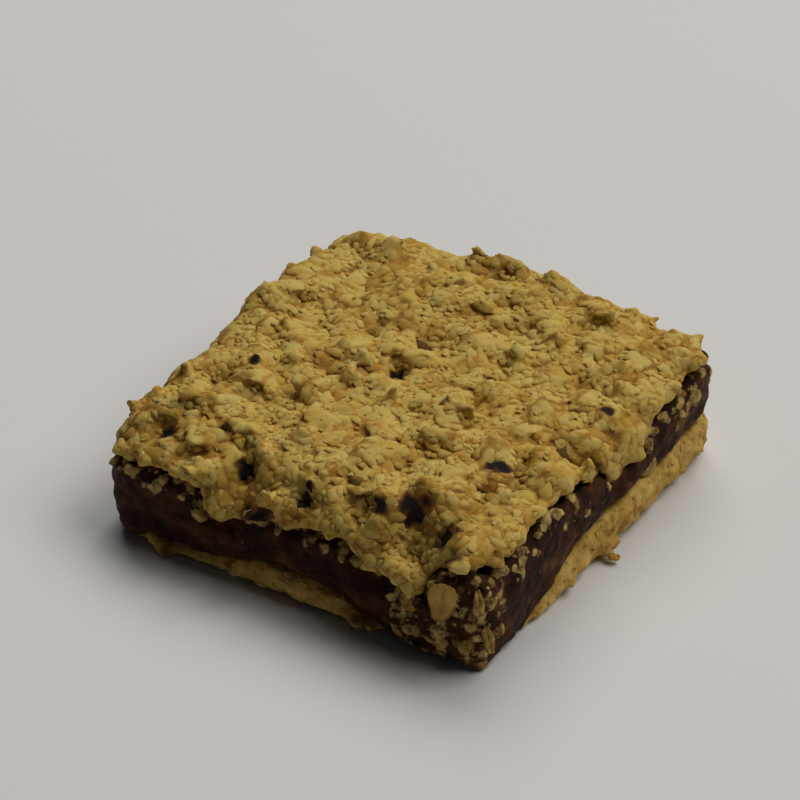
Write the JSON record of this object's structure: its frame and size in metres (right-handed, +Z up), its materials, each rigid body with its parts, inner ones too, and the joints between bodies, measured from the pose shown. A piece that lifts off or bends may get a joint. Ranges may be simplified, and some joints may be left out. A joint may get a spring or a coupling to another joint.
{
  "type": "date square",
  "caption": "Hand-cut square of baked oat base, dark date filling and craggy oat crumble topping with rolled oat flakes on top.",
  "frame": {"origin": "middle of the bounding box at the level of the flat underside", "axes": "+Z up through the layers, +X and +Y along the cut sides; the corner at +X -Y is the one nearest the viewer"},
  "size_m": [0.0698, 0.0722, 0.0251],
  "materials": {
    "oat_base": "pressed baked oats, rough and dry",
    "date_filling": "sticky date paste, slightly glossy",
    "crumble_topping": "baked oat crumble, rough and dry"
  },
  "bodies": {
    "root": {"oat_base": "oat_base", "date_filling": "date_filling", "crumble_topping": "crumble_topping"}
  },
  "joints": []
}
